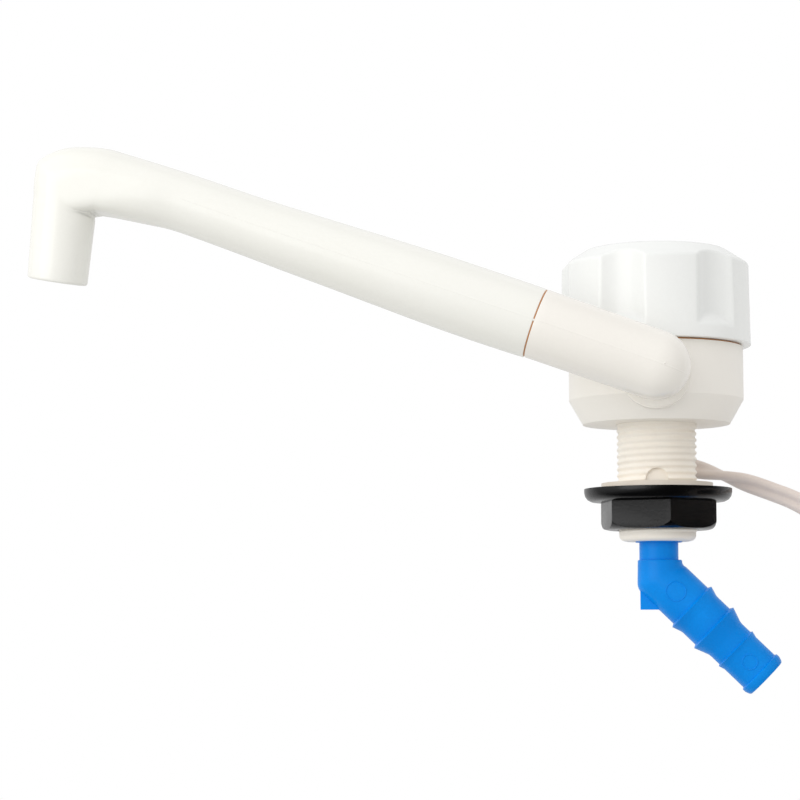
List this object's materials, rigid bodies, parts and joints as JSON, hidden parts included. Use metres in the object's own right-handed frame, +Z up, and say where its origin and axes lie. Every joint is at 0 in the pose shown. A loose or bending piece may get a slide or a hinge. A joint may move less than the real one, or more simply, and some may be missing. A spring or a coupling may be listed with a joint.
{
  "type": "electric pump faucet",
  "caption": "Worktop tap for a low-voltage water pump: fluted knob on a drum body, swinging spout, threaded stem with back nut, angled hose barb and a flat twin lead.",
  "frame": {"origin": "on the stem's axis at the underside of the body, where it sits on the worktop", "axes": "+Z up along the stem and the knob's axis, -Y to the front where the spout's pivot is, spout to -X at rest"},
  "size_m": [0.2195, 0.0691, 0.1455],
  "materials": {
    "body_plastic": "satin off-white moulding",
    "knob_plastic": "glossy white moulding",
    "spout_plastic": "glossy ivory moulding",
    "stem_plastic": "satin cream moulding",
    "nut_plastic": "grained black moulding",
    "tail_plastic": "glossy blue moulding",
    "seal_rubber": "matt black rubber",
    "steel": "plain metal",
    "lead_sheath": "satin warm grey sheath",
    "tie_plastic": "white strip",
    "button_plastic": "red moulding"
  },
  "bodies": {
    "tap_body": {"body_shell": "body_plastic", "body_lid": "body_plastic", "threaded_stem": "stem_plastic", "inlet_tube": "stem_plastic", "sealing_washer": "stem_plastic", "back_nut": "nut_plastic", "hose_tail": "tail_plastic", "tail_oring": "seal_rubber", "valve_housing": "body_plastic", "valve_gland": "body_plastic", "spindle_oring": "seal_rubber", "outlet_seal": "seal_rubber", "switch_case": "nut_plastic", "switch_terminals": "steel", "switch_screws": "steel", "switch_leads": "lead_sheath", "cable_lead": "lead_sheath", "cable_coil": "lead_sheath", "cable_tie": "tie_plastic", "wire_ends": "steel"},
    "knob_body": {"knob": "knob_plastic", "knob_cap": "knob_plastic", "knob_screw": "steel", "spindle": "stem_plastic", "spindle_clip": "steel", "switch_cam": "tail_plastic"},
    "valve_body": {"valve_plug": "tail_plastic", "valve_washer": "seal_rubber"},
    "button_body": {"switch_button": "button_plastic"},
    "spout_body": {"elbow": "spout_plastic", "pivot_tube": "stem_plastic", "pivot_orings": "seal_rubber", "pivot_clip": "steel", "spout": "spout_plastic", "spout_oring": "seal_rubber"}
  },
  "joints": [
    {"name": "knob_turn", "type": "hinge", "parent": "tap_body", "child": "knob_body", "pos_m": [0, 0, 0.033], "axis": [0, 0, 1], "range_deg": [0, 180]},
    {"name": "spout_swing", "type": "hinge", "parent": "tap_body", "child": "spout_body", "pos_m": [0, -0.0348, 0.012], "axis": [0, 1, 0], "range_deg": [-20, 70]},
    {"name": "valve_lift", "type": "slide", "parent": "tap_body", "child": "valve_body", "axis": [0, 0, 1], "range_m": [0, 0.00151]},
    {"name": "button_press", "type": "slide", "parent": "tap_body", "child": "button_body", "axis": [0, 1, 0], "range_m": [0, 0.00121]}
  ],
  "couplings": [
    {"joint": "valve_lift", "follows": "knob_turn", "m_per_rad": 0.00047746},
    {"joint": "button_press", "follows": "knob_turn", "m_per_rad": 0.00038197}
  ]
}
